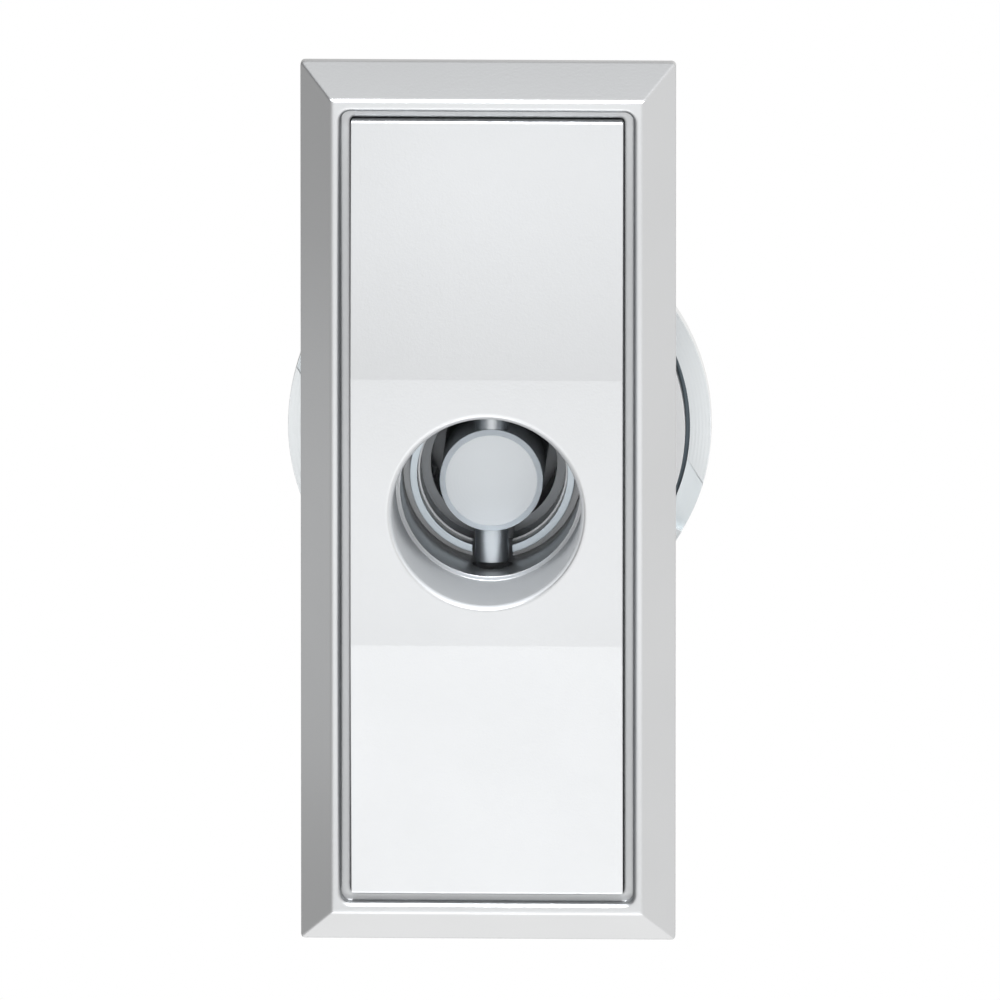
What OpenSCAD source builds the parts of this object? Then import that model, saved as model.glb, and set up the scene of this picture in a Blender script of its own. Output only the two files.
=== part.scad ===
// Flush pull-and-turn T-handle lock, without its lock plug.
// Millimetres. X is to the right, Z is up and the front looks towards -Y.
// The origin is on the spindle axis, in the plane where the bezel seats on its panel (Y = 0).

/* [Bezel] */
// Width of the bezel's outline
bezel_w = 38; // [36:0.5:44]
// Height of the bezel's outline
bezel_h = 90.5; // [84:0.5:110]
// Height of the upright side wall under the bevel
bezel_side = 1.2; // [0.6:0.1:2.5]
// Height of the mitred bevel
bevel_rise = 4; // [2:0.1:5]
// Width of the mitred bevel at the sides, seen from the front
bevel_w = 3.2; // [2:0.05:4]
// Width of the mitred bevel at top and bottom, seen from the front
bevel_w_end = 3.35; // [2:0.05:4]
// Softening of the edge between bevel and face
bevel_ease = 0.24; // [0.1:0.02:0.5]
// Radius of the outline's four corners
outline_r = 0.45; // [0.2:0.05:1.5]
// Width of the face between the bevel and the pocket, at the sides
face_rim_side = 0.95; // [0.7:0.05:1.6]
// Width of the face between the bevel and the pocket, at top and bottom
face_rim_end = 1.1; // [0.7:0.05:3]
// Depth of the pocket behind the face
pocket_depth = 8.2; // [7:0.1:10]
// Radius of the pocket's corners
pocket_r = 1; // [0.6:0.1:2]
// Chamfer round the pocket's mouth
pocket_chamfer = 0.3; // [0.1:0.05:0.5]
// Depth of the ledge round the pocket, behind the face
ledge_depth = 1.5; // [0.6:0.1:3]
// Running gap between the grip and the pocket behind that ledge
well_gap = 0.1; // [0.08:0.02:0.5]

/* [Housing] */
// Wall of the tray behind the panel
tray_wall = 1.55; // [1.2:0.05:2]
// Thickness of the pocket's floor
floor_t = 2.4; // [2:0.1:4]
// Radial wall of the sleeve behind the tray
sleeve_wall = 3.2; // [2.5:0.1:4]
// Distance from the panel plane to the sleeve's rear end
sleeve_end = 37.4; // [36:0.1:50]
// Radius of the sleeve's screw bosses
boss_r = 3.2; // [2.8:0.1:3.6]
// Thickness of the casting ribs
rib_t = 3; // [2:0.1:5]

/* [Handle] */
// Gap between handle and pocket at the sides
gap_side = 1.08; // [0.6:0.02:1.6]
// Gap between handle and pocket at top and bottom
gap_end = 0.9; // [0.6:0.05:2]
// Length of the flat square at the middle of the grip
crown_h = 27.4; // [24:0.2:34]
// How far the middle of the grip stands in front of the bezel's face
crown_rise = 2.5; // [1:0.1:4]
// Running gap between the grip's back and the pocket's floor
grip_back_gap = 0.6; // [0.5:0.1:1]
// Softening of the grip's back edges
grip_ease = 1.5; // [0.5:0.1:2.5]
// Softening of the grip's front edges at its ends
tip_ease = 0.3; // [0.1:0.05:0.6]
// Diameter of the stem behind the grip
stem_d = 23; // [22:0.1:26]
// How far the handle pulls out
pull_travel = 12; // [8:0.5:12]

/* [Plug bore] */
// Diameter of the bore that takes the lock plug
plug_d = 19.15; // [18.6:0.05:19.5]
// Roll of the bore's lip
lip_r = 0.65; // [0.2:0.05:0.8]
// Depth of the plug bore from the panel plane to its ledge
plug_ledge = 5.6; // [4:0.1:7]
// Diameter of the recess that the cross pin turns in
recess_d = 18.3; // [17.8:0.1:18.5]
// Play of the cross pin along its recess, at each end
pin_play = 0.15; // [0.1:0.05:0.4]
// Diameter behind the recess
seat_d = 15.3; // [14.5:0.1:16]
// Depth of the step behind the recess
seat_len = 2; // [1:0.1:3]
// Width of the raised ring round that step
seat_ring_w = 0.75; // [0.4:0.05:1]
// Width of the small ledge that follows
shoulder_w = 0.25; // [0.15:0.05:0.4]
// Length of the bore between that ledge and the inner web
throat_len = 3.6; // [2:0.1:5]
// Diameter of the hole through the inner web
web_hole_d = 12.8; // [11.6:0.1:13.6]
// Width of the window for the plug's bolt
bolt_window_w = 5; // [4:0.1:7]
// Length of the window for the plug's bolt
bolt_window_len = 3; // [2:0.1:3]

/* [Spindle] */
// Diameter of the spindle
spindle_d = 10.48; // [9.6:0.02:11.2]
// Width of the shallow cone round the spindle's nose
nose_chamfer = 0.58; // [0.3:0.02:0.9]
// Depth of that cone
nose_chamfer_t = 0.16; // [0.08:0.02:0.18]
// Distance from the panel plane to the spindle's nose
nose_y = 9.7; // [9:0.1:11]
// Diameter of the cross pin
cross_pin_d = 3.4; // [3:0.1:3.8]
// Distance from the spindle's nose to the cross pin's front
pin_inset = 0.2; // [0.1:0.05:0.4]
// Diameter of the spindle's collar
collar_d = 17; // [15:0.1:18]
// Thickness of the spindle's collar
collar_t = 2.2; // [1.6:0.1:3]
// Side of the square drive
square_w = 7.3; // [6.4:0.1:7.6]
// Diameter of the threaded tail under its nut
tail_d = 8; // [6.5:0.1:8]
// Diameter of the tail's free end
drawbar_d = 6; // [4:0.1:6.3]
// Length of the tail's free end behind the nut
tail_free = 8; // [6:0.5:20]

/* [Rear] */
// How far the rear cap's edge lies inside the bezel's sides
cap_inset = 0; // [0:0.1:1]
// Thickness of the rear cap
cap_t = 2.7; // [2.4:0.1:4]
// Length of the cap's spigot inside the sleeve
spigot_len = 2; // [1.5:0.1:3]
// Gap between the cap's rim and the latch disc's rim
rim_gap = 0.45; // [0.3:0.05:0.8]
// Width of the latch disc's rim
rim_w = 2.2; // [1.8:0.1:3.2]
// How far the latch disc's rim lies behind the cap's front face
rim_back = 2; // [1.4:0.1:2.2]
// Running gap between cap and latch disc
disc_gap = 0.3; // [0.3:0.05:0.6]
// Thickness of the latch disc
disc_t = 1.4; // [1.2:0.1:2.5]
// Diameter of the latch disc's boss
disc_boss_d = 16; // [14:0.5:18]
// Length of the latch disc's boss behind the disc
disc_boss_len = 4; // [3:0.1:8]
// Depth of the annular groove inside the latch disc's rim
rim_groove_t = 0.9; // [0.4:0.1:0.9]
// Depth of the ramped notches at their step
ramp_depth = 1.4; // [1:0.1:1.5]
// Distance of the line where a ramp starts from the axis
ramp_line = 14.5; // [14:0.1:15]
// Angle by which the spindle turns
turn_angle = 90; // [60:5:90]

/* [Bearings and seals] */
// Radial wall of the stem's guide bush
bush_wall = 1.25; // [1:0.05:2]
// Length of the guide bush
bush_len = 12; // [8:0.5:14]
// Width of the stem seal's seat
seal_w = 2.6; // [2:0.1:3.5]
// Radial wall of the spindle bush
spindle_bush_wall = 1.7; // [1.2:0.1:2]
// Diameter of the spindle bush's flange
bush_flange_d = 18; // [17:0.1:18.4]
// Thickness of flanges and thrust washer
flange_t = 1; // [0.8:0.1:1.5]
// Width of the panel seal
panel_seal_w = 1; // [0.6:0.1:1.1]
// Depth of the panel seal
panel_seal_t = 1; // [0.6:0.1:1.1]
// Diameter of the buffer pads
pad_d = 6; // [4:0.5:8]
// Distance of the buffer pads from the fixing studs
pad_inset = 9; // [7:0.5:12]

/* [Spring] */
// Wire of the return spring
spring_wire = 1.2; // [1:0.05:1.3]
// Mean diameter of the return spring
spring_d = 21; // [20.6:0.1:21.6]
// Working turns between the closed ends
spring_turns = 2.5; // [2:0.25:3]

/* [Fixings] */
// Thickness of the panel that the clamps are set for
panel_t = 2; // [1:0.5:3]
// Distance of the fixing studs from the tray's ends
stud_inset = 10.35; // [8.5:0.05:12]
// Diameter of the fixing studs
stud_d = 5; // [4:0.5:6]
// Thickness of the clamp bridges
clamp_t = 1.6; // [1.2:0.1:2.5]
// Width of the clamp bridges along the bezel's height
clamp_w = 14; // [12:0.5:16]
// Height of the stud bosses behind the tray
stud_boss_h = 3.2; // [2:0.1:4]
// Diameter of the cap screws
cap_screw_d = 3; // [2.5:0.1:3]
// Length of the cap screws
cap_screw_len = 11; // [8:0.5:14]
// Diameter of the stop pin
stop_pin_d = 3; // [2.5:0.1:3.5]
// Distance of the stop pin from the axis
stop_pin_r = 11.2; // [11:0.1:11.6]

/* [Hidden] */
$fn = 96;

// Clearances
running = 0.05;
loose = 0.3;
seat_play = 0.02;
cut = 1;
ease_steps = 3;

// Bezel, pocket and tray
face_y = -(bezel_side + bevel_rise);
pocket_w = bezel_w - 2 * (bevel_w + face_rim_side);
pocket_h = bezel_h - 2 * (bevel_w_end + face_rim_end);
floor_y = face_y + pocket_depth;
tray_y = floor_y + floor_t;
tray_w = pocket_w + 2 * tray_wall;
tray_h = pocket_h + 2 * tray_wall;
tray_r = pocket_r + tray_wall;
stud_boss_y = tray_y + stud_boss_h;
stud_z = tray_h / 2 - stud_inset;
pad_z = stud_z - pad_inset;

// Handle
grip_w = pocket_w - 2 * gap_side;
grip_h = pocket_h - 2 * gap_end;
crown_y = face_y - crown_rise;
grip_back = floor_y - grip_back_gap;
stem_r = stem_d / 2;

// Cross pin and the stepped bore behind the plug bore
pin_r = cross_pin_d / 2;
pin_y = nose_y + pin_inset + pin_r;
recess_y = pin_y + pin_r + pin_play;
pin_len = recess_d - 2 * loose;
slot_w = cross_pin_d + 2 * loose;
shoulder_y = recess_y + seat_len;
web_y = shoulder_y + throat_len;
slot_end = pin_y + pin_r + pull_travel + seat_play;
stem_end = slot_end + 2;
pin_hole_d = cross_pin_d + 2 * loose;

// Sleeve and what it holds
bush_r = stem_r + running;
sleeve_r = bush_r + bush_wall;
sleeve_out = sleeve_r + sleeve_wall;
bush_y = floor_y + seal_w;
seal_r = sleeve_r + 0.3;
screw_circle = sleeve_out - 0.5;
screw_angles = [90, 210, 330];
boss_start = 20;
boss_taper = 5;

// Rear cap, spindle bush and spindle
spindle_r = spindle_d / 2;
cap_d = bezel_w - 2 * cap_inset;
cap_back = sleeve_end + cap_t;
spigot_y = sleeve_end - spigot_len;
flange_y = spigot_y - flange_t;
washer_y = flange_y - flange_t;
collar_y = washer_y - collar_t;
spindle_bush_r = spindle_r + running + spindle_bush_wall;

// Latch disc and tail
disc_y = cap_back + disc_gap;
disc_back = disc_y + disc_t;
rim_y = sleeve_end + rim_back;
rim_r = cap_d / 2 + rim_gap;
disc_r = rim_r + rim_w;
boss_back = disc_back + disc_boss_len;
tail_washer_t = 1;
tail_nut_t = 5;
tail_nut_af = 13;
nut_y = boss_back + tail_washer_t;
tail_step = nut_y + tail_nut_t + 1;
tail_end = tail_step + tail_free;
ramp_tilt = 32;
ramp_end = 30.5;
ramp_run = 7;

// Spring
seat_t = 0.8;
spring_y0 = stem_end + 0.05;
spring_y1 = spigot_y - seat_t - 0.05;

// Panel clamps
seal_groove = panel_seal_w + 0.1;
seal_mid_w = (bezel_w + tray_w) / 2;
seal_mid_h = (bezel_h + tray_h) / 2;
clamp_y = stud_boss_y + 0.4;
clamp_back = clamp_y + clamp_t;
clamp_half = seal_mid_w / 2 + seal_groove / 2 - 0.1;
stud_washer_t = 1;
stud_nut_t = 4;
stud_nut_af = 8;
stud_y0 = floor_y + 1.2;
stud_y1 = clamp_back + stud_washer_t + stud_nut_t + 3;

// Puts a shape drawn upwards along Z onto the spindle axis, from y backwards
module axial(y) {
    translate([0, y, 0]) rotate([-90, 0, 0]) children();
}

// Extrudes a front view, drawn in X and Z, between two depths
module front_view(y0, y1) {
    translate([0, y1, 0]) rotate([90, 0, 0]) linear_extrude(y1 - y0) children();
}

// Extrudes a plan view, drawn in X and Y, over the height h
module plan_view(h) {
    translate([0, 0, -h / 2]) linear_extrude(h) children();
}

// Extrudes a side view, drawn in Y and Z, over the width w
module side_view(w) {
    translate([-w / 2, 0, 0]) rotate([90, 0, 90]) linear_extrude(w) children();
}

// Rectangle with round corners
module round_rect(w, h, r) {
    square([w - 2 * r, h], center = true);
    square([w, h - 2 * r], center = true);
    for (x = [-1, 1], y = [-1, 1])
        translate([x * (w / 2 - r), y * (h / 2 - r)]) circle(r = r, $fn = 48);
}

// Ring round the spindle axis
module ring(y, r_out, r_in, t) {
    axial(y) difference() {
        cylinder(r = r_out, h = t);
        translate([0, 0, -cut]) cylinder(r = r_in, h = t + 2 * cut);
    }
}

// Turned shape: profile points are [radius, depth]
module turned(points) {
    axial(0) rotate_extrude() polygon(points);
}

function toward(a, b, d) = a + (b - a) * d / norm(b - a);

// Softened corner c between the points a and b
function eased(a, c, b, d) = let (p = toward(c, a, d), q = toward(c, b, d))
    [for (i = [0 : ease_steps]) let (t = i / ease_steps)
        (1 - t) * (1 - t) * p + 2 * t * (1 - t) * c + t * t * q];

// Closed outline whose points are [x, y, softening]
function eased_outline(v) = let (n = len(v))
    [for (i = [0 : n - 1])
        let (c = [v[i][0], v[i][1]], a = v[(i + n - 1) % n], b = v[(i + 1) % n])
        each (v[i][2] > 0 ? eased([a[0], a[1]], c, [b[0], b[1]], v[i][2]) : [c])];

// Section of the bezel across a half width or a half height, as [half, depth]
function bezel_section(half, bevel) = eased_outline([
    [-half, 0, 0],
    [-half, -bezel_side, 0],
    [-half + bevel, face_y, bevel_ease],
    [half - bevel, face_y, bevel_ease],
    [half, -bezel_side, 0],
    [half, 0, 0]
]);

function swapped(v) = [for (p = v) [p[1], p[0]]];

// Mitred frame in front of the panel
module bezel_block() {
    intersection() {
        plan_view(bezel_h + 2 * cut) polygon(bezel_section(bezel_w / 2, bevel_w));
        side_view(bezel_w + 2 * cut)
            polygon(swapped(bezel_section(bezel_h / 2, bevel_w_end)));
        front_view(face_y - cut, cut) round_rect(bezel_w, bezel_h, outline_r);
    }
}

// Ribs that carry the sleeve, and the bosses for the fixing studs
module tray_stiffeners() {
    rib_foot = stud_z - clamp_w / 2 - 0.5;
    for (s = [-1, 1]) {
        side_view(rib_t) polygon([
            [tray_y - 0.5, s * (sleeve_out - 1)],
            [tray_y - 0.5, s * rib_foot],
            [tray_y + 1, s * rib_foot],
            [boss_start, s * (sleeve_out - 1)]
        ]);
        translate([0, 0, s * stud_z]) axial(tray_y - 0.5)
            cylinder(r = stud_d / 2 + 2.5, h = stud_boss_h + 0.5);
    }
}

// Bosses along the sleeve for the three cap screws
module screw_bosses() {
    for (a = screw_angles) rotate([0, -a, 0]) translate([screw_circle, 0, 0]) {
        axial(boss_start) cylinder(r = boss_r, h = sleeve_end - 0.2 - boss_start);
        axial(boss_start - boss_taper) cylinder(r1 = 0.5, r2 = boss_r, h = boss_taper);
    }
}

// Flared section across the pocket's mouth, as [half, depth]
function mouth_section(half) = [
    [-half, face_y + pocket_chamfer],
    [-half - pocket_chamfer - cut, face_y - cut],
    [half + pocket_chamfer + cut, face_y - cut],
    [half, face_y + pocket_chamfer]
];

// Pocket for the grip, with its chamfered mouth and the ledge round the grip
module pocket_cut() {
    straight_w = pocket_w - 2 * pocket_r;
    straight_h = pocket_h - 2 * pocket_r;
    front_view(face_y - cut, face_y + ledge_depth) round_rect(pocket_w, pocket_h, pocket_r);
    front_view(face_y, floor_y)
        round_rect(grip_w + 2 * well_gap, grip_h + 2 * well_gap, tip_ease + well_gap);
    plan_view(straight_h) polygon(mouth_section(pocket_w / 2));
    side_view(straight_w) polygon(swapped(mouth_section(pocket_h / 2)));
    for (x = [-1, 1], z = [-1, 1]) translate([x * straight_w / 2, 0, z * straight_h / 2])
        axial(face_y - cut) cylinder(
            r1 = pocket_r + pocket_chamfer + cut,
            r2 = pocket_r,
            h = pocket_chamfer + cut
        );
}

// Notch above the stem where the plug's bolt catches
module keeper_cut(r_in, r_out) {
    translate([-bolt_window_w / 2, plug_ledge + 0.4, r_in])
        cube([bolt_window_w, bolt_window_len, r_out - r_in]);
}

module bezel_housing() {
    color("silver") difference() {
        union() {
            bezel_block();
            front_view(-bezel_side, tray_y) round_rect(tray_w, tray_h, tray_r);
            axial(tray_y - 0.5) cylinder(r = sleeve_out, h = sleeve_end - tray_y + 0.5);
            tray_stiffeners();
            screw_bosses();
        }
        pocket_cut();
        axial(floor_y - cut) cylinder(r = seal_r, h = seal_w + cut);
        axial(floor_y) cylinder(r = sleeve_r, h = sleeve_end - floor_y + cut);
        keeper_cut(sleeve_r - cut, sleeve_r + 1.6);
        front_view(-panel_seal_t, cut) difference() {
            round_rect(seal_mid_w + seal_groove, seal_mid_h + seal_groove, tray_r);
            round_rect(seal_mid_w - seal_groove, seal_mid_h - seal_groove, tray_r - seal_groove);
        }
        for (s = [-1, 1]) {
            translate([0, 0, s * pad_z]) axial(floor_y - cut)
                cylinder(d = pad_d, h = cut + 0.5);
            translate([0, 0, s * stud_z]) axial(stud_y0)
                cylinder(d = stud_d, h = stud_boss_y - stud_y0 + cut);
        }
        for (a = screw_angles) rotate([0, -a, 0]) translate([screw_circle, 0, 0])
            axial(cap_back - cap_screw_len - 0.5) cylinder(d = cap_screw_d, h = cap_screw_len);
    }
}

module panel_seal() {
    color("dimgray") front_view(-panel_seal_t, 0) difference() {
        round_rect(seal_mid_w + panel_seal_w, seal_mid_h + panel_seal_w, tray_r);
        round_rect(seal_mid_w - panel_seal_w, seal_mid_h - panel_seal_w, tray_r - panel_seal_w);
    }
}

module stem_seal() {
    color("dimgray") ring(floor_y, seal_r, stem_r + loose, seal_w);
}

module guide_bush() {
    color("ivory") difference() {
        ring(bush_y, sleeve_r, bush_r, bush_len);
        keeper_cut(bush_r - cut, sleeve_r + cut);
    }
}

// Rubber discs that the grip's back comes home on
module buffer_pads() {
    color("dimgray") for (s = [-1, 1]) translate([0, 0, s * pad_z])
        axial(grip_back + 0.1) cylinder(d = pad_d, h = grip_back_gap + 0.4);
}

// Side view of the grip: a flat crown between two sloping ends
function grip_section() = eased_outline([
    [grip_back, -grip_h / 2, grip_ease],
    [face_y, -grip_h / 2, tip_ease],
    [crown_y, -crown_h / 2, 0],
    [crown_y, crown_h / 2, 0],
    [face_y, grip_h / 2, tip_ease],
    [grip_back, grip_h / 2, grip_ease]
]);

// Plan view of the grip: round back edges
function grip_plan() = eased_outline([
    [-grip_w / 2, crown_y - cut, 0],
    [grip_w / 2, crown_y - cut, 0],
    [grip_w / 2, grip_back, grip_ease],
    [-grip_w / 2, grip_back, grip_ease]
]);

// Stepped bore from the rolled lip to the hole that the spindle runs in
module handle_bore() {
    plug_r = plug_d / 2;
    lip = [for (i = [0 : 6]) let (a = 90 * i / 6)
        [plug_r + lip_r * (1 - sin(a)), crown_y + lip_r * (1 - cos(a))]];
    turned(concat(
        [[0, crown_y - cut], [plug_r + lip_r, crown_y - cut]],
        lip,
        [
            [plug_r, plug_ledge],
            [recess_d / 2, plug_ledge],
            [recess_d / 2, shoulder_y],
            [seat_d / 2 + seat_ring_w, shoulder_y],
            [seat_d / 2 + seat_ring_w, recess_y],
            [seat_d / 2, recess_y],
            [seat_d / 2, shoulder_y],
            [seat_d / 2 - shoulder_w, shoulder_y],
            [seat_d / 2 - shoulder_w, web_y],
            [web_hole_d / 2, web_y],
            [web_hole_d / 2, stem_end + cut],
            [0, stem_end + cut]
        ]
    ));
}

// Keyways that the pin runs in while the handle is pulled, and the cross slot in the stem's rear end
module pin_ways() {
    intersection() {
        axial(recess_y - 0.5) cylinder(d = recess_d, h = stem_end + cut - recess_y + 0.5);
        union() {
            translate([-slot_w / 2, recess_y - 0.5, -recess_d / 2])
                cube([slot_w, slot_end - recess_y + 0.5, recess_d]);
            translate([-recess_d / 2, slot_end - slot_w, -slot_w / 2])
                cube([recess_d, stem_end + cut - slot_end + slot_w, slot_w]);
        }
    }
}

module t_handle() {
    color("gainsboro") difference() {
        union() {
            intersection() {
                side_view(grip_w) polygon(grip_section());
                plan_view(grip_h + cut) polygon(grip_plan());
                front_view(crown_y - cut, grip_back + cut) round_rect(grip_w, grip_h, tip_ease);
            }
            axial(grip_back - cut) cylinder(r = stem_r, h = stem_end - grip_back + cut);
        }
        handle_bore();
        pin_ways();
        translate([0, pin_y, -stem_r - cut]) cylinder(d = pin_hole_d, h = stem_r);
        keeper_cut(recess_d / 2 - cut, stem_r + cut);
    }
}

// Rings of a round wire wound about Y, joined to one closed skin
function coil_y(t, turns, y0, y1) = let (
        closed = spring_wire * 1.06,
        pitch = (y1 - y0 - spring_wire - 2 * closed) / turns)
    y0 + spring_wire / 2 + (t < 1 ? t * closed
        : t < 1 + turns ? closed + (t - 1) * pitch
        : closed + turns * pitch + (t - 1 - turns) * closed);

module coil(turns, y0, y1) {
    sides = 8;
    per_turn = 24;
    steps = (turns + 2) * per_turn;
    points = [for (i = [0 : steps], j = [0 : sides - 1])
        let (a = 360 * i / per_turn, b = 360 * j / sides,
            r = spring_d / 2 + spring_wire / 2 * cos(b))
        [r * cos(a), coil_y(i / per_turn, turns, y0, y1) + spring_wire / 2 * sin(b), r * sin(a)]];
    skin = [for (i = [0 : steps - 1], j = [0 : sides - 1])
        let (k = (j + 1) % sides)
        [i * sides + j, i * sides + k, (i + 1) * sides + k, (i + 1) * sides + j]];
    ends = [[for (j = [sides - 1 : -1 : 0]) j], [for (j = [0 : sides - 1]) steps * sides + j]];
    polyhedron(points, concat(skin, ends));
}

module return_spring() {
    color("lightsteelblue") coil(spring_turns, spring_y0, spring_y1);
}

module spring_seat() {
    color("silver") ring(spigot_y - seat_t, sleeve_r - 0.2, bush_flange_d / 2 + 0.2, seat_t);
}

module spindle() {
    color("lightgray") difference() {
        union() {
            turned([
                [0, nose_y],
                [spindle_r - nose_chamfer, nose_y],
                [spindle_r, nose_y + nose_chamfer_t],
                [spindle_r, collar_y],
                [collar_d / 2, collar_y],
                [collar_d / 2, washer_y],
                [spindle_r, washer_y],
                [spindle_r, cap_back],
                [0, cap_back]
            ]);
            intersection() {
                axial(cap_back - cut) cylinder(r = spindle_r, h = boss_back - cap_back + cut);
                front_view(cap_back - cut, boss_back) square(square_w, center = true);
            }
            turned([
                [0, boss_back - cut],
                [square_w / 2 - 0.1, boss_back - cut],
                [square_w / 2 - 0.1, boss_back],
                [tail_d / 2, boss_back],
                [tail_d / 2, tail_step - 0.5],
                [tail_d / 2 - 0.5, tail_step],
                [drawbar_d / 2, tail_step],
                [drawbar_d / 2, tail_end - 0.6],
                [drawbar_d / 2 - 0.6, tail_end],
                [0, tail_end]
            ]);
        }
        translate([0, pin_y, -spindle_d]) cylinder(d = cross_pin_d, h = 2 * spindle_d);
    }
}

module cross_pin() {
    color("gainsboro") translate([0, pin_y, 0]) {
        cylinder(d = cross_pin_d, h = pin_len - 0.6, center = true);
        for (s = [0, 180]) rotate([s, 0, 0]) translate([0, 0, pin_len / 2 - 0.3])
            cylinder(r1 = pin_r, r2 = pin_r - 0.3, h = 0.3);
    }
}

module thrust_washer() {
    color("ivory") ring(washer_y, collar_d / 2, spindle_r + running, flange_t);
}

module spindle_bush() {
    color("goldenrod") difference() {
        union() {
            axial(flange_y) cylinder(d = bush_flange_d, h = flange_t);
            axial(flange_y) cylinder(r = spindle_bush_r, h = cap_back - flange_y);
        }
        axial(flange_y - cut) cylinder(r = spindle_r + running, h = cap_back - flange_y + 2 * cut);
    }
}

module rear_cap() {
    color("silver") difference() {
        union() {
            axial(spigot_y) cylinder(r = sleeve_r - running, h = spigot_len + cut);
            axial(sleeve_end) cylinder(d = cap_d, h = cap_t);
        }
        axial(spigot_y - cut) cylinder(r = spindle_bush_r, h = cap_back - spigot_y + 2 * cut);
        for (a = screw_angles) rotate([0, -a, 0]) translate([screw_circle, 0, 0]) {
            axial(sleeve_end - cut) cylinder(d = cap_screw_d + 0.2, h = cap_t + 2 * cut);
            axial(cap_back - 1.6) cylinder(r1 = cap_screw_d / 2 + 0.1, r2 = cap_screw_d + 0.1, h = 1.6);
        }
        translate([-stop_pin_r, 0, 0]) axial(sleeve_end) cylinder(d = stop_pin_d, h = cap_t + cut);
    }
}

module cap_screws() {
    head_h = 1.5;
    color("lightsteelblue") for (a = screw_angles)
        rotate([0, -a, 0]) translate([screw_circle, 0, 0]) difference() {
            union() {
                axial(cap_back - cap_screw_len) cylinder(d = cap_screw_d, h = cap_screw_len - 0.1);
                axial(cap_back - head_h - 0.1)
                    cylinder(r1 = cap_screw_d / 2, r2 = cap_screw_d - 0.1, h = head_h);
            }
            axial(cap_back - 1.1) cylinder(d = 2, h = 2, $fn = 6);
        }
}

module stop_pin() {
    color("gainsboro") translate([-stop_pin_r, 0, 0]) axial(sleeve_end)
        cylinder(d = stop_pin_d, h = disc_back - sleeve_end - 0.2);
}

// Arc that the stop pin runs in while the disc turns
module stop_slot() {
    slot_half = stop_pin_d / 2 + loose;
    axial(disc_y - cut) rotate([0, 0, 180 - turn_angle]) rotate_extrude(angle = turn_angle)
        translate([stop_pin_r - slot_half, 0]) square([2 * slot_half, disc_t + 2 * cut]);
    for (a = [0, turn_angle]) rotate([0, -a, 0]) translate([-stop_pin_r, 0, 0])
        axial(disc_y - cut) cylinder(r = slot_half, h = disc_t + 2 * cut);
}

// Ramped notch in the rim: it starts on a slanted line and ends at a radial step
module ramp_cut() {
    reach = disc_r + 2;
    intersection() {
        front_view(rim_y - cut, disc_back) polygon([
            [0, 0],
            [reach * cos(ramp_end), -reach * sin(ramp_end)],
            [reach * cos(ramp_end - 30), -reach * sin(ramp_end - 30)]
        ]);
        rotate([0, -ramp_tilt, 0]) plan_view(2 * reach) polygon([
            [ramp_line, rim_y - cut],
            [ramp_line, rim_y],
            [ramp_line - ramp_run, rim_y + ramp_depth],
            [ramp_line - 2 * ramp_run, rim_y + ramp_depth],
            [ramp_line - 2 * ramp_run, rim_y - cut]
        ]);
        ring(rim_y - cut, reach, rim_r - 0.01, disc_t + 3 * cut);
    }
}

module latch_disc() {
    color("whitesmoke") difference() {
        union() {
            axial(rim_y) cylinder(r = disc_r, h = disc_back - rim_y);
            axial(disc_back - cut) cylinder(d = disc_boss_d, h = disc_boss_len + cut);
        }
        axial(rim_y - cut) cylinder(r = rim_r, h = disc_y - rim_y + cut);
        ring(disc_y - cut, rim_r, rim_r - 1.2, rim_groove_t + cut);
        front_view(disc_y - cut, boss_back + cut) square(square_w + 2 * seat_play, center = true);
        stop_slot();
        for (a = [0, 180]) rotate([0, a, 0]) ramp_cut();
    }
}

// Split spring washer
module split_washer(y, r_out, r_in, t) {
    difference() {
        ring(y, r_out, r_in, t);
        rotate([0, 20, 0]) translate([0, y - cut, -0.4]) cube([r_out + cut, t + 2 * cut, 0.8]);
    }
}

// Hexagon nut across the flats af, with chamfered corners
module hex_nut(y, af, hole_d, t) {
    difference() {
        intersection() {
            axial(y) rotate([0, 0, 30]) cylinder(d = af / cos(30), h = t, $fn = 6);
            turned([
                [0, y],
                [af / 2, y],
                [af / 2 / cos(30), y + 0.5],
                [af / 2 / cos(30), y + t - 0.5],
                [af / 2, y + t],
                [0, y + t]
            ]);
        }
        axial(y - cut) cylinder(d = hole_d, h = t + 2 * cut);
    }
}

module tail_washer() {
    color("silver") split_washer(boss_back, tail_d / 2 + 3, tail_d / 2 + 0.1, tail_washer_t);
}

module tail_nut() {
    color("lightsteelblue") hex_nut(nut_y, tail_nut_af, tail_d, tail_nut_t);
}

// Folded bridge that spans the panel's cut-out and bears on it with two feet
module clamp_bridge(z) {
    translate([0, 0, z]) difference() {
        plan_view(clamp_w) polygon(eased_outline([
            [-clamp_half, panel_t, 0],
            [-clamp_half, clamp_back, clamp_t],
            [clamp_half, clamp_back, clamp_t],
            [clamp_half, panel_t, 0],
            [clamp_half - clamp_t, panel_t, 0],
            [clamp_half - clamp_t, clamp_y, 0.4],
            [-clamp_half + clamp_t, clamp_y, 0.4],
            [-clamp_half + clamp_t, panel_t, 0]
        ]));
        axial(clamp_y - cut) cylinder(d = stud_d + 0.5, h = clamp_t + 2 * cut);
    }
}

module clamp_bridge_upper() {
    color("gainsboro") clamp_bridge(stud_z);
}

module clamp_bridge_lower() {
    color("gainsboro") clamp_bridge(-stud_z);
}

module fixing_studs() {
    color("lightsteelblue") for (s = [-1, 1]) translate([0, 0, s * stud_z]) turned([
        [0, stud_y0],
        [stud_d / 2, stud_y0],
        [stud_d / 2, stud_y1 - 0.5],
        [stud_d / 2 - 0.5, stud_y1],
        [0, stud_y1]
    ]);
}

module fixing_washers() {
    color("silver") for (s = [-1, 1]) translate([0, 0, s * stud_z])
        ring(clamp_back, stud_d, stud_d / 2 + 0.15, stud_washer_t);
}

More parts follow.
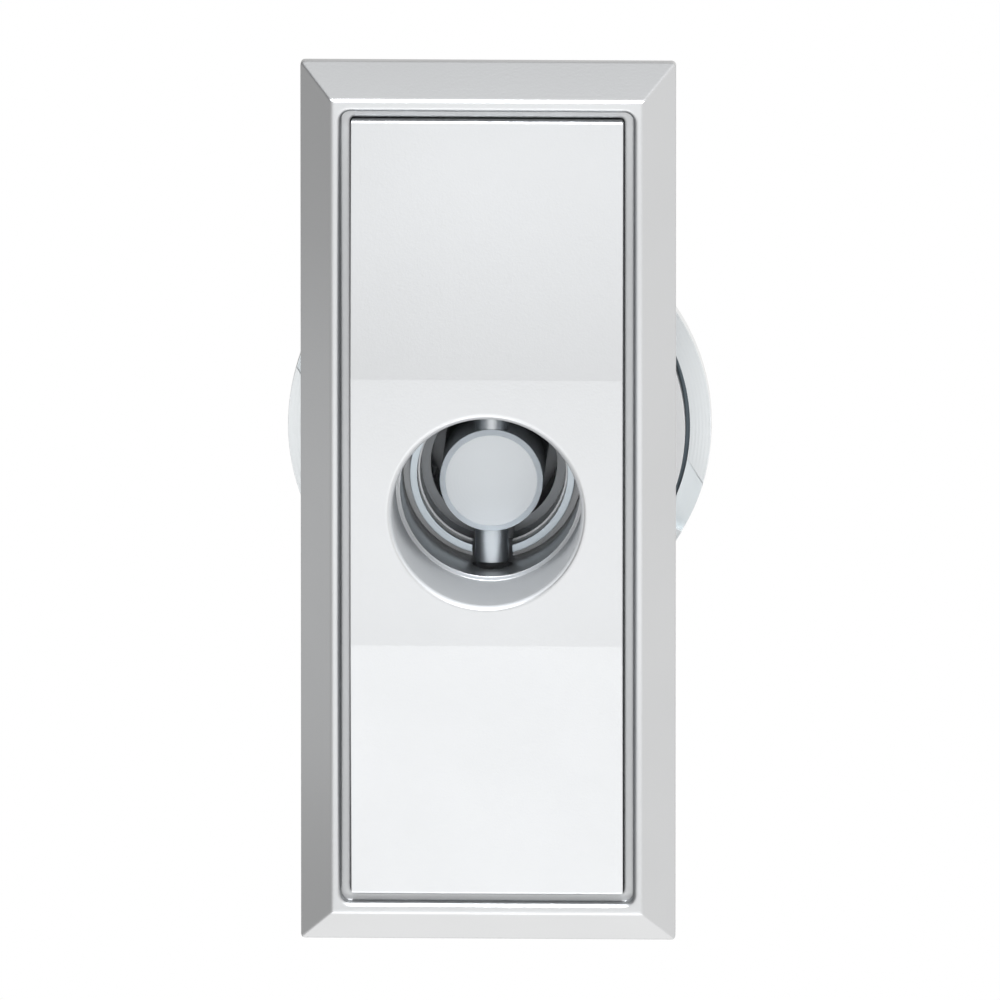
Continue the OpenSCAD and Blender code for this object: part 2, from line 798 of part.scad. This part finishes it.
module fixing_nuts() {
    color("lightsteelblue") for (s = [-1, 1]) translate([0, 0, s * stud_z])
        hex_nut(clamp_back + stud_washer_t, stud_nut_af, stud_d, stud_nut_t);
}

bezel_housing();
panel_seal();
stem_seal();
guide_bush();
buffer_pads();
t_handle();
return_spring();
spring_seat();
spindle();
cross_pin();
thrust_washer();
spindle_bush();
rear_cap();
cap_screws();
stop_pin();
latch_disc();
tail_washer();
tail_nut();
clamp_bridge_upper();
clamp_bridge_lower();
fixing_studs();
fixing_washers();
fixing_nuts();
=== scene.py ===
"""Looks of a flush T-handle lock: finishes, stud threads, lights and camera.

Lengths in the script are millimetres where a name ends in _mm, and metres elsewhere. X is to the
right, Z is up, and the front looks towards -Y. The origin lies on the spindle axis, in the plane
where the bezel seats on its panel.
"""

import logging
import math
from dataclasses import dataclass
from enum import Enum
from typing import Any

import bmesh
import bpy
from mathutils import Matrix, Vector

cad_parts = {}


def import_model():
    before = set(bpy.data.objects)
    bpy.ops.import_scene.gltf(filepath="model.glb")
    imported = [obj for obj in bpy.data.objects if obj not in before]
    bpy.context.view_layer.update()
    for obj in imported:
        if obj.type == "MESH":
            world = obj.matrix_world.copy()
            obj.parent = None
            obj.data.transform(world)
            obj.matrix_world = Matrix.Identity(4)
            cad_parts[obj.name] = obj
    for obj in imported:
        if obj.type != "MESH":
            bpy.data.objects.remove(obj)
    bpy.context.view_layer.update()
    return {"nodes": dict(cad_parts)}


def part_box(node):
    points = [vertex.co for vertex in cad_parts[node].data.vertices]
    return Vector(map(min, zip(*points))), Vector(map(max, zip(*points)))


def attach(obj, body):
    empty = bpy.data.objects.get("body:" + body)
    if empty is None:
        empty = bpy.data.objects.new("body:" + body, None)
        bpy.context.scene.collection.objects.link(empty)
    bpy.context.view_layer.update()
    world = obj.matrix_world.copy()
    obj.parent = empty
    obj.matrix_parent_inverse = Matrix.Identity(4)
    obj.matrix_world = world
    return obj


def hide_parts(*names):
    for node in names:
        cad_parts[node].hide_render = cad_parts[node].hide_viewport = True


log = logging.getLogger("t_handle_lock")

Rgba = tuple[float, float, float, float]
Nodes = dict[str, bpy.types.Object]

MM = 0.001
# Edges that turn by more than this stay sharp on the pieces made here.
SHARP_DEGREES = 35.0
# Share of open surroundings below which a point gets the recess's full painted shade, and above which it gets
# none.
DEEP, CLEAR = 0.08, 0.46


class Side(Enum):
    """End of the lock that a paired piece belongs to."""

    UPPER = 1
    LOWER = -1


class Blend(Enum):
    """Kind of value that a mix node blends, with the places of its first input and its output."""

    NUMBER = ("FLOAT", 2, 0)
    COLOUR = ("RGBA", 6, 2)


def linear(hex_colour: str) -> Rgba:
    """Turns an sRGB hex colour into linear RGBA.

    Args:
        hex_colour: Six hex digits, such as "c8cacc".

    Returns:
        Linear red, green, blue and an alpha of 1.
    """
    values = [int(hex_colour[i : i + 2], 16) / 255 for i in (0, 2, 4)]
    red, green, blue = (v / 12.92 if v <= 0.04045 else ((v + 0.055) / 1.055) ** 2.4 for v in values)
    return (red, green, blue, 1.0)


def add_node(tree: bpy.types.NodeTree, kind: str, links: dict[Any, Any], **settings: Any) -> bpy.types.Node:
    """Adds one shader node with its settings and links.

    Args:
        tree: Node tree that the node goes into.
        kind: Blender's class name of the node.
        links: Input name or index to a value, or to the output socket that feeds it.
        **settings: Attributes of the node, such as blend_type.

    Returns:
        The new node.
    """
    node = tree.nodes.new(kind)
    for name, value in settings.items():
        setattr(node, name, value)
    for key, value in links.items():
        if isinstance(value, bpy.types.NodeSocket):
            tree.links.new(value, node.inputs[key])
        else:
            node.inputs[key].default_value = value
    return node


@dataclass(frozen=True)
class Zone:
    """A ring-shaped part of space about the spindle axis.

    Args:
        inner_mm: Inner radius.
        outer_mm: Outer radius.
        front_mm: Y of its front.
        rear_mm: Y of its rear.
    """

    inner_mm: float
    outer_mm: float
    front_mm: float
    rear_mm: float

    def mask(self, tree: bpy.types.NodeTree) -> bpy.types.NodeSocket:
        """Adds the nodes that tell whether a point lies in the zone.

        Args:
            tree: The material's node tree.

        Returns:
            The socket that gives 1 inside and 0 outside.
        """
        place = add_node(tree, "ShaderNodeTexCoord", {}).outputs["Object"]
        axes = add_node(tree, "ShaderNodeSeparateXYZ", {0: place}).outputs
        across = add_node(tree, "ShaderNodeCombineXYZ", {0: axes[0], 2: axes[2]}).outputs[0]
        radius = add_node(tree, "ShaderNodeVectorMath", {0: across}, operation="LENGTH").outputs["Value"]
        inside = []
        for value, low, high in (
            (radius, self.inner_mm, self.outer_mm),
            (axes[1], self.front_mm, self.rear_mm),
        ):
            span = {0: value, 1: (low + high) / 2 * MM, 2: (high - low) / 2 * MM}
            inside.append(add_node(tree, "ShaderNodeMath", span, operation="COMPARE").outputs[0])
        return add_node(tree, "ShaderNodeMath", {0: inside[0], 1: inside[1]}, operation="MULTIPLY").outputs[0]

    def override(self, surface: bpy.types.Node, name: str, value: float | Rgba) -> None:
        """Gives one input of a surface another value inside the zone.

        Args:
            surface: The surface's shader node.
            name: Name of the input, which another node feeds.
            value: A number, or a linear colour.
        """
        tree = surface.id_data
        kind, first, out = (Blend.COLOUR if isinstance(value, tuple) else Blend.NUMBER).value
        plain = surface.inputs[name].links[0].from_socket
        links = {0: self.mask(tree), first: plain, first + 1: value}
        mixed = add_node(tree, "ShaderNodeMix", links, data_type=kind).outputs[out]
        tree.links.new(mixed, surface.inputs[name])


@dataclass(frozen=True)
class Finish:
    """A material with its roughness pattern and fine relief.

    Args:
        name: Common name of the material and how its surface was made.
        colour: sRGB hex colour.
        metallic: 1 for bare or plated metal.
        roughness: Mean roughness.
        swing: How far the roughness wanders from its mean, in each direction.
        grain_mm: Size of the surface's grain.
        relief_mm: Height of the grain.
        edge_mm: Radius that the light finds on the piece's edges.
        tones: Zones that have a colour of their own, used here mostly for painted shade and painted
            highlights.
        dulls: Zones that have a roughness of their own.
        mottle_mm: Size of the patches in which tone and roughness wander.
        mottle_tone: What is left of the colour in the darker patches.
        recess_mm: How near other surfaces lie where the colour starts to be darkened as painted shade.
        painted_shade_tone: What is left of the colour in the deepest recess, where the painted shade is
            darkest.
    """

    name: str
    colour: str
    metallic: float
    roughness: float
    swing: float
    grain_mm: float
    relief_mm: float
    edge_mm: float
    tones: tuple[tuple[Zone, str], ...] = ()
    dulls: tuple[tuple[Zone, float], ...] = ()
    mottle_mm: float = 12.0
    mottle_tone: float = 0.94
    recess_mm: float = 2.0
    painted_shade_tone: float = 0.4

    def build(self) -> bpy.types.Material:
        """Builds the material once and returns it."""
        known = bpy.data.materials.get(self.name)
        if known is not None:
            return known
        material = bpy.data.materials.new(self.name)
        material.use_nodes = True
        tree = material.node_tree
        tree.nodes.clear()
        place = add_node(tree, "ShaderNodeTexCoord", {}).outputs["Object"]
        mottle = add_node(
            tree, "ShaderNodeTexNoise", {"Vector": place, "Scale": 1 / (self.mottle_mm * MM), "Detail": 3.0}
        ).outputs[0]
        low, high = self.roughness - self.swing, self.roughness + self.swing
        surface = add_node(
            tree,
            "ShaderNodeBsdfPrincipled",
            {
                "Base Color": self.tone(tree, mottle),
                "Metallic": self.metallic,
                "Roughness": add_node(tree, "ShaderNodeMapRange", {0: mottle, 3: low, 4: high}).outputs[0],
                "Normal": self.relief(tree, place),
            },
        )
        for zone, hex_colour in self.tones:
            zone.override(surface, "Base Color", linear(hex_colour))
        for zone, roughness in self.dulls:
            zone.override(surface, "Roughness", roughness)
        self.refine(surface)
        add_node(tree, "ShaderNodeOutputMaterial", {"Surface": surface.outputs[0]})
        return material

    def tone(self, tree: bpy.types.NodeTree, mottle: bpy.types.NodeSocket) -> bpy.types.NodeSocket:
        """Adds the colour, a little darker in random patches and much darker in recesses as painted shade.

        Args:
            tree: The material's node tree.
            mottle: Socket that gives the patches.

        Returns:
            The socket that gives the colour.
        """
        red, green, blue, alpha = linear(self.colour)
        darker = (red * self.mottle_tone, green * self.mottle_tone, blue * self.mottle_tone, alpha)
        kind, first, out = Blend.COLOUR.value
        patches = add_node(
            tree, "ShaderNodeMix", {0: mottle, first: linear(self.colour), first + 1: darker}, data_type=kind
        ).outputs[out]
        # Painted shade: the colour is darkened where other surfaces lie near, in recesses, corners and gaps.
        room = add_node(
            tree, "ShaderNodeAmbientOcclusion", {"Distance": self.recess_mm * MM}, samples=8
        ).outputs["AO"]
        painted_shade = add_node(
            tree, "ShaderNodeMapRange", {0: room, 1: DEEP, 2: CLEAR, 3: self.painted_shade_tone, 4: 1.0}
        ).outputs[0]
        return add_node(
            tree, "ShaderNodeVectorMath", {0: patches, "Scale": painted_shade}, operation="SCALE"
        ).outputs[0]

    def relief(self, tree: bpy.types.NodeTree, place: bpy.types.NodeSocket) -> bpy.types.NodeSocket:
        """Adds the fine relief and the softened edges.

        Args:
            tree: The material's node tree.
            place: Object coordinates in metres.

        Returns:
            The socket that gives the surface's direction.
        """
        edge = add_node(tree, "ShaderNodeBevel", {"Radius": self.edge_mm * MM}, samples=6).outputs[0]
        height = self.height(tree, place)
        links = {"Strength": 1.0, "Distance": self.relief_mm * MM, "Height": height, "Normal": edge}
        return add_node(tree, "ShaderNodeBump", links).outputs[0]

    def height(self, tree: bpy.types.NodeTree, place: bpy.types.NodeSocket) -> bpy.types.NodeSocket:
        """Adds the relief's pattern.

        Args:
            tree: The material's node tree.
            place: Object coordinates in metres.

        Returns:
            The socket that gives the height, from 0 to 1.
        """
        links = {"Vector": place, "Scale": 1 / (self.grain_mm * MM), "Detail": 4.0, "Roughness": 0.6}
        return add_node(tree, "ShaderNodeTexNoise", links).outputs[0]

    def refine(self, surface: bpy.types.Node) -> None:
        """Sets what this material has beyond colour, metal and roughness."""


@dataclass(frozen=True)
class TurnedFinish(Finish):
    """Metal off the lathe: fine rings round the spindle axis.

    Args:
        feed_mm: Distance between the tool's rings, drawn coarser than the real 0.1 mm so that it shows.
        chatter: How far the rings wander.
    """

    feed_mm: float = 0.35
    chatter: float = 0.4

    def height(self, tree: bpy.types.NodeTree, place: bpy.types.NodeSocket) -> bpy.types.NodeSocket:
        """Adds rings about Y and bands along Y, broken up by a little grain.

        Args:
            tree: The material's node tree.
            place: Object coordinates in metres.

        Returns:
            The socket that gives the height.
        """
        # A wave repeats every 2 pi / 20 units at a scale of 1.
        scale = 2 * math.pi / 20 / (self.feed_mm * MM)
        links = {"Vector": place, "Scale": scale, "Distortion": self.chatter}
        rings = add_node(tree, "ShaderNodeTexWave", links, wave_type="RINGS", rings_direction="Y")
        bands = add_node(tree, "ShaderNodeTexWave", links, wave_type="BANDS", bands_direction="Y")
        both = add_node(tree, "ShaderNodeMath", {0: rings.outputs[1], 1: bands.outputs[1]}, operation="ADD")
        grain = super().height(tree, place)
        return add_node(
            tree, "ShaderNodeMath", {0: grain, 1: 0.5, 2: both.outputs[0]}, operation="MULTIPLY_ADD"
        ).outputs[0]


@dataclass(frozen=True)
class PolymerFinish(Finish):
    """Moulded plastic or rubber.

    Args:
        ior: Index of refraction.
        specular: Specular level.
    """

    ior: float = 1.5
    specular: float = 0.5

    def refine(self, surface: bpy.types.Node) -> None:
        """Sets the refraction and the specular level."""
        surface.inputs["IOR"].default_value = self.ior
        surface.inputs["Specular IOR Level"].default_value = self.specular


# Zones by radius and depth: three in the handle's bore, one on the spindle, two on the disc.
BORE_WALL = Zone(0.0, 9.9, -9.0, 5.5)
RAISED_RING = Zone(7.55, 8.5, 13.3, 13.6)
BORE_WEB = Zone(6.3, 7.35, 18.8, 19.3)
NOSE_CONE = Zone(4.66, 5.4, 9.5, 9.9)
DISC_RAMPS = Zone(19.5, 21.6, 39.42, 41.7)
CAP_GAP = Zone(18.2, 19.47, 39.3, 41.35)

# Satin nickel-chrome on die-cast zinc: neutral grey, broad soft reflections, a very fine sparkle.
BEZEL_PLATE = Finish("satin_plated_zinc_bezel", "c7cacd", 1.0, 0.34, 0.015, 0.25, 0.012, 0.36)
# The same plating. It stays dull in the bore as far as the plug reaches. The web at the bore's bottom is
# darkened as painted shade, and the raised ring is lightened as a painted highlight.
HANDLE_PLATE = Finish(
    "satin_plated_zinc_handle", "c7cacd", 1.0, 0.34, 0.015, 0.25, 0.012, 0.14,
    # Painted shade on the web and a painted highlight on the raised ring.
    tones=((BORE_WEB, "86898c"), (RAISED_RING, "ccd6dd")),
    dulls=((BORE_WALL, 0.75),),
)
# The same plating on the cap, given a lighter colour than the bezel's as painted light.
CAP_PLATE = Finish("satin_plated_zinc_cap", "e0e2e4", 1.0, 0.36, 0.03, 0.3, 0.004, 0.1)
# Turned steel with bright zinc: cool, with the tool's rings just visible. The ramps are milled and matt,
# and little light comes out of the narrow gap behind the cap's edge.
DISC_ZINC = TurnedFinish(
    "bright_zinc_turned_disc", "e4e9ec", 1.0, 0.3, 0.03, 0.2, 0.0015, 0.1,
    tones=((DISC_RAMPS, "e2e8eb"), (CAP_GAP, "69747c")),
    dulls=((DISC_RAMPS, 0.6),),
)
# Turned and plated steel of the spindle and pins: a soft shine with fine rings. The nose's cone is matt,
# and its paler colour is a painted highlight.
SPINDLE_STEEL = TurnedFinish(
    "plated_turned_steel", "c9ced2", 1.0, 0.43, 0.02, 0.2, 0.0015, 0.1,
    # Painted highlight on the nose's cone.
    tones=((NOSE_CONE, "f2f7fb"),),
    dulls=((NOSE_CONE, 0.85),),
)
# Pressed steel with bright zinc: a slight blue cast and a patchy shine.
ZINC_STEEL = Finish("bright_zinc_pressed_steel", "c9ced6", 1.0, 0.32, 0.06, 0.6, 0.004, 0.12)
# Drawn spring wire: dark oily grey.
SPRING_WIRE = Finish("drawn_spring_wire", "8b8d91", 1.0, 0.36, 0.05, 0.15, 0.003, 0.05)
# Sintered bronze: warm and matt, with open pores.
SINTERED_BRONZE = Finish("sintered_bronze", "a8834f", 1.0, 0.52, 0.06, 0.12, 0.012, 0.1)
# Natural acetal, machined: milky white with a waxy shine.
ACETAL = PolymerFinish("natural_acetal", "e6e2d6", 0.0, 0.38, 0.04, 0.3, 0.003, 0.1, ior=1.48)
# Nitrile rubber, moulded: near black, dull, with a faint grain.
RUBBER = PolymerFinish("moulded_nitrile_rubber", "2b2b2d", 0.0, 0.66, 0.06, 0.2, 0.01, 0.1, ior=1.52)


def dress(node: bpy.types.Object, finish: Finish) -> None:
    """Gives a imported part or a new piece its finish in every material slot.

    Args:
        node: Object to dress.
        finish: Finish that it takes.
    """
    material = finish.build()
    if not node.material_slots:
        node.data.materials.append(material)
    for slot in node.material_slots:
        slot.material = material


def make_piece(name: str, shape: bmesh.types.BMesh, body: str, finish: Finish) -> bpy.types.Object:
    """Turns a finished shape into a smooth, dressed piece that rides on a body.

    Args:
        name: Name of the piece.
        shape: Mesh under construction; it is freed.
        body: Body that the piece moves with.
        finish: Finish of the piece.

    Returns:
        The new object.
    """
    mesh = bpy.data.meshes.new(name)
    bmesh.ops.recalc_face_normals(shape, faces=shape.faces)
    for face in shape.faces:
        face.smooth = True
    for edge in shape.edges:
        turn = edge.calc_face_angle(0.0)
        edge.smooth = len(edge.link_faces) == 2 and turn < math.radians(SHARP_DEGREES)
    shape.to_mesh(mesh)
    shape.free()
    piece = bpy.data.objects.new(name, mesh)
    bpy.context.scene.collection.objects.link(piece)
    dress(piece, finish)
    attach(piece, body)
    return piece


def sweep(shape: bmesh.types.BMesh, rings: list[list[Vector]]) -> None:
    """Skins a row of rings of equal count and closes both ends.

    Args:
        shape: Mesh that the skin goes into.
        rings: Points of each ring, in order.
    """
    rows = [[shape.verts.new(p) for p in ring] for ring in rings]
    count = len(rows[0])
    for row, after in zip(rows, rows[1:]):
        for i in range(count):
            j = (i + 1) % count
            shape.faces.new((row[i], row[j], after[j], after[i]))
    shape.faces.new(rows[0][::-1])
    shape.faces.new(rows[-1])


@dataclass
class SubAssembly:
    """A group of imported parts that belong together."""

    def finishes(self) -> dict[str, Finish]:
        """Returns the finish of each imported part, by the part's name."""
        return {}

    def make(self) -> list[bpy.types.Object]:
        """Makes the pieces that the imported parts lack, and returns them."""
        return []

    def dress(self, nodes: Nodes) -> None:
        """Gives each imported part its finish.

        Args:
            nodes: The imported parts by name.
        """
        for name, finish in self.finishes().items():
            dress(nodes[name], finish)


@dataclass
class BezelHousing(SubAssembly):
    """The casting with bezel, pocket, tray and sleeve, and its seals, pads and bush."""

    casting: Finish = BEZEL_PLATE
    rubber: Finish = RUBBER
    bush: Finish = ACETAL

    def finishes(self) -> dict[str, Finish]:
        """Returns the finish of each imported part, by the part's name."""
        rubbers = {name: self.rubber for name in ("panel_seal", "stem_seal", "buffer_pads")}
        return {"bezel_housing": self.casting, **rubbers, "guide_bush": self.bush}


@dataclass
class THandle(SubAssembly):
    """The grip with its stem and stepped bore."""

    casting: Finish = HANDLE_PLATE

    def finishes(self) -> dict[str, Finish]:
        """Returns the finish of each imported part, by the part's name."""
        return {"t_handle": self.casting}


@dataclass
class ReturnSpring(SubAssembly):
    """The spring's seat and its coil, which the handle stretches as it is pulled."""

    wire: Finish = SPRING_WIRE
    seat: Finish = ZINC_STEEL

    def finishes(self) -> dict[str, Finish]:
        """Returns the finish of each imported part, by the part's name."""
        return {"return_spring": self.wire, "spring_seat": self.seat}


@dataclass
class SpindleDrive(SubAssembly):
    """Spindle, pins, thrust washer, and the washer and nut that hold the latch disc on its square."""

    turned: Finish = SPINDLE_STEEL
    thrust_washer: Finish = ACETAL
    spring_steel: Finish = SPRING_WIRE
    nut: Finish = ZINC_STEEL

    def finishes(self) -> dict[str, Finish]:
        """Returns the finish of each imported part, by the part's name."""
        turned = {name: self.turned for name in ("spindle", "cross_pin", "stop_pin")}
        ends = {"thrust_washer": self.thrust_washer, "tail_washer": self.spring_steel, "tail_nut": self.nut}
        return {**turned, **ends}


@dataclass
class RearEnd(SubAssembly):
    """Rear cap with its screws and bush, and the latch disc behind it."""

    cap: Finish = CAP_PLATE
    bush: Finish = SINTERED_BRONZE
    screws: Finish = ZINC_STEEL
    disc: Finish = DISC_ZINC

    def finishes(self) -> dict[str, Finish]:
        """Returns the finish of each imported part, by the part's name."""
        return {
            "rear_cap": self.cap,
            "spindle_bush": self.bush,
            "cap_screws": self.screws,
            "latch_disc": self.disc,
        }


@dataclass
class PanelFixings(SubAssembly):
    """Clamp bridges with their threaded studs, washers and nuts.

    Args:
        stud_r_mm: Outer radius of the studs' thread.
        pitch_mm: Pitch of an M5 thread.
        depth_mm: Depth of its groove.
        flank: How steep the groove's sides are; at 2 the crests would be sharp.
        chamfer_turns: Turns that the stud's ends are chamfered over.
        chamfer_slope: How steep the chamfers are, as groove depths a turn.
        around: Points round the stud.
        steps_per_turn: Points along each turn.
        zinc: Finish of all these parts.
    """

    stud_r_mm: float = 2.5
    pitch_mm: float = 0.8
    depth_mm: float = 0.43
    flank: float = 2.6
    chamfer_turns: float = 0.6
    chamfer_slope: float = 0.8
    around: int = 32
    steps_per_turn: int = 10
    zinc: Finish = ZINC_STEEL

    def finishes(self) -> dict[str, Finish]:
        """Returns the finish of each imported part, by the part's name."""
        bridges = ("clamp_bridge_upper", "clamp_bridge_lower")
        fasteners = ("fixing_studs", "fixing_washers", "fixing_nuts")
        return {name: self.zinc for name in bridges + fasteners}

    def thread(self, shape: bmesh.types.BMesh, low: Vector, high: Vector, side: Side) -> None:
        """Cuts one stud's thread as a stack of rings whose radius follows the helix.

        Args:
            shape: Mesh that the stud goes into.
            low: Lowest corner of both studs' box.
            high: Highest corner of both studs' box.
            side: Which stud is made.
        """
        outer = self.stud_r_mm * MM
        depth = self.depth_mm * MM
        pitch = self.pitch_mm * MM
        centre_z = side.value * (high.z - outer)
        steps = int((high.y - low.y) / pitch * self.steps_per_turn)
        rings = []
        for k in range(steps + 1):
            y = low.y + (high.y - low.y) * k / steps
            turns_in = min(y - low.y, high.y - y) / pitch
            chamfer = max(0.0, self.chamfer_turns - turns_in) * self.chamfer_slope * depth
            ring = []
            for i in range(self.around):
                angle = 2 * math.pi * i / self.around
                phase = (y / pitch + i / self.around) % 1.0
                groove = max(0.0, 1 - abs(phase - 0.5) * self.flank) * depth
                r = outer - max(groove, chamfer)
                ring.append(Vector((r * math.cos(angle), y, centre_z + r * math.sin(angle))))
            rings.append(ring)
        sweep(shape, rings)

    def make(self) -> list[bpy.types.Object]:
        """Makes both threaded studs in place of the plain ones, and returns them as one piece."""
        low, high = (Vector(corner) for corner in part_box("fixing_studs"))
        shape = bmesh.new()
        for side in Side:
            self.thread(shape, low, high, side)
        piece = make_piece("threaded_studs", shape, "housing", self.zinc)
        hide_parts("fixing_studs")
        return [piece]


def direction(azimuth: float, elevation: float) -> Vector:
    """Unit vector from the lock towards a place in the studio.

    Args:
        azimuth: Degrees to the right of the front.
        elevation: Degrees above the horizon.

    Returns:
        The vector.
    """
    a, e = math.radians(azimuth), math.radians(elevation)
    return Vector((math.sin(a) * math.cos(e), -math.cos(a) * math.cos(e), math.sin(e)))


@dataclass(frozen=True)
class Softbox:
    """A rectangular lamp that looks at the lock.

    Args:
        name: Name of the lamp.
        azimuth: Degrees to the right of the front.
        elevation: Degrees above the horizon.
        distance: Metres from the lock.
        width: Metres across.
        height: Metres high.
        power: Watts.
    """

    name: str
    azimuth: float
    elevation: float
    distance: float
    width: float
    height: float
    power: float

    def build(self) -> bpy.types.Object:
        """Makes the lamp, aimed at the middle of the lock, and returns it."""
        lamp = bpy.data.lights.new(self.name, "AREA")
        lamp.shape = "RECTANGLE"
        lamp.size = self.width
        lamp.size_y = self.height
        lamp.energy = self.power
        item = bpy.data.objects.new(self.name, lamp)
        way = direction(self.azimuth, self.elevation)
        item.visible_camera = False
        item.location = way * self.distance
        item.rotation_euler = (-way).to_track_quat("-Z", "Y").to_euler()
        bpy.context.scene.collection.objects.link(item)
        return item


@dataclass(frozen=True)
class Studio:
    """Pale surroundings with soft lamps. The camera sees them as plain white.

    Args:
        walls: sRGB hex colour of the walls.
        level: Light that the walls send to the lock.
        slope_x: How much brighter the right side is than the middle.
        slope_z: How much brighter the ceiling is than the middle, here darker.
        side_drop: How much darker both sides are than the front.
        pole_rise: How much brighter ceiling and floor are than the front.
        twist: How much darker the upper left and the lower right are.
        lamps: The softboxes.
    """

    walls: str = "fffcf9"
    level: float = 0.865
    slope_x: float = 0.41
    slope_z: float = -0.34
    side_drop: float = 0.13
    pole_rise: float = 0.2
    twist: float = 0.5
    lamps: tuple[Softbox, ...] = (
        Softbox("key_above", 0.0, 52.0, 0.3, 0.11, 0.06, 1.3),
        Softbox("upper_front", 0.0, 21.0, 0.1, 0.06, 0.03, 0.0042),
        Softbox("front", 0.0, -11.0, 0.12, 0.12, 0.04, 0.0095),
        Softbox("front_low", 0.0, -30.0, 0.34, 0.3, 0.08, 0.085),
        Softbox("floor", 0.0, -60.0, 0.3, 0.16, 0.08, 0.1),
        Softbox("left_side", -104.0, -12.0, 0.1, 0.08, 0.05, 0.0023),
    )

    def shade(self, tree: bpy.types.NodeTree) -> bpy.types.NodeSocket:
        """Adds the walls' light by direction.

        Args:
            tree: The world's node tree.

        Returns:
            The socket that gives the light.
        """
        way = add_node(tree, "ShaderNodeTexCoord", {}).outputs["Generated"]
        x, _, z = add_node(tree, "ShaderNodeSeparateXYZ", {0: way}).outputs
        slopes = (self.slope_x, 0.0, self.slope_z)
        lean = add_node(tree, "ShaderNodeVectorMath", {0: way, 1: slopes}, operation="DOT_PRODUCT")
        total = add_node(
            tree, "ShaderNodeMath", {0: lean.outputs["Value"], 1: self.level}, operation="ADD"
        ).outputs[0]
        for one, other, weight in ((x, x, -self.side_drop), (z, z, self.pole_rise), (x, z, self.twist)):
            product = add_node(tree, "ShaderNodeMath", {0: one, 1: other}, operation="MULTIPLY").outputs[0]
            links = {0: product, 1: weight, 2: total}
            total = add_node(tree, "ShaderNodeMath", links, operation="MULTIPLY_ADD").outputs[0]
        return total

    def build(self) -> None:
        """Makes the world and its lamps."""
        world = bpy.data.worlds.new("white_studio")
        world.use_nodes = True
        tree = world.node_tree
        tree.nodes.clear()
        seen = add_node(tree, "ShaderNodeLightPath", {}).outputs["Is Camera Ray"]
        lit = add_node(
            tree, "ShaderNodeBackground", {"Color": linear(self.walls), "Strength": self.shade(tree)}
        )
        backdrop = add_node(tree, "ShaderNodeBackground", {"Color": linear("ffffff"), "Strength": 1.0})
        mix = add_node(tree, "ShaderNodeMixShader", {0: seen, 1: lit.outputs[0], 2: backdrop.outputs[0]})
        add_node(tree, "ShaderNodeOutputWorld", {"Surface": mix.outputs[0]})
        bpy.context.scene.world = world
        for lamp in self.lamps:
            log.info("built lamp %s", lamp.build().name)


@dataclass(frozen=True)
class Viewpoint:
    """Long lens, a little above the lock and a touch to its right.

    Args:
        azimuth: Degrees to the right of the front.
        elevation: Degrees above the horizon.
        distance: Metres from the lock.
        frame_mm: Width of the picture at the lock.
        aim_mm: Point in the middle of the picture.
        sensor_mm: Width of the sensor.
        nearest: Metres to the nearest thing in view.
        farthest: Metres to the farthest thing in view.
    """

    azimuth: float = 1.65
    elevation: float = 11.0
    distance: float = 4.4
    frame_mm: float = 101.33
    aim_mm: tuple[float, float, float] = (1.2, -1.2, 0.11)
    sensor_mm: float = 24.0
    nearest: float = 0.1
    farthest: float = 50.0

    def build(self) -> bpy.types.Object:
        """Makes the camera, sets it as the scene's camera and returns it."""
        lens = bpy.data.cameras.new("long_lens")
        lens.sensor_width = self.sensor_mm
        lens.lens = self.sensor_mm * self.distance / (self.frame_mm * MM)
        lens.clip_start = self.nearest
        lens.clip_end = self.farthest
        camera = bpy.data.objects.new("long_lens", lens)
        way = direction(self.azimuth, self.elevation)
        camera.location = Vector(self.aim_mm) * MM + way * self.distance
        camera.rotation_euler = (-way).to_track_quat("-Z", "Y").to_euler()
        bpy.context.scene.collection.objects.link(camera)
        bpy.context.scene.camera = camera
        return camera


def main() -> None:
    """Builds and dresses the lock piece by piece, then the studio and the camera."""
    logging.basicConfig(level=logging.INFO, format="%(name)s: %(message)s")
    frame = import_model()
    for part in (BezelHousing(), THandle(), ReturnSpring(), SpindleDrive(), RearEnd(), PanelFixings()):
        part.dress(frame["nodes"])
        log.info("dressed %s: %s", type(part).__name__, ", ".join(part.finishes()))
        for piece in part.make():
            log.info("built %s", piece.name)
    Studio().build()
    log.info("built camera %s", Viewpoint().build().name)
    bpy.context.scene.view_settings.view_transform = "Standard"


if __name__ == "__main__":
    main()
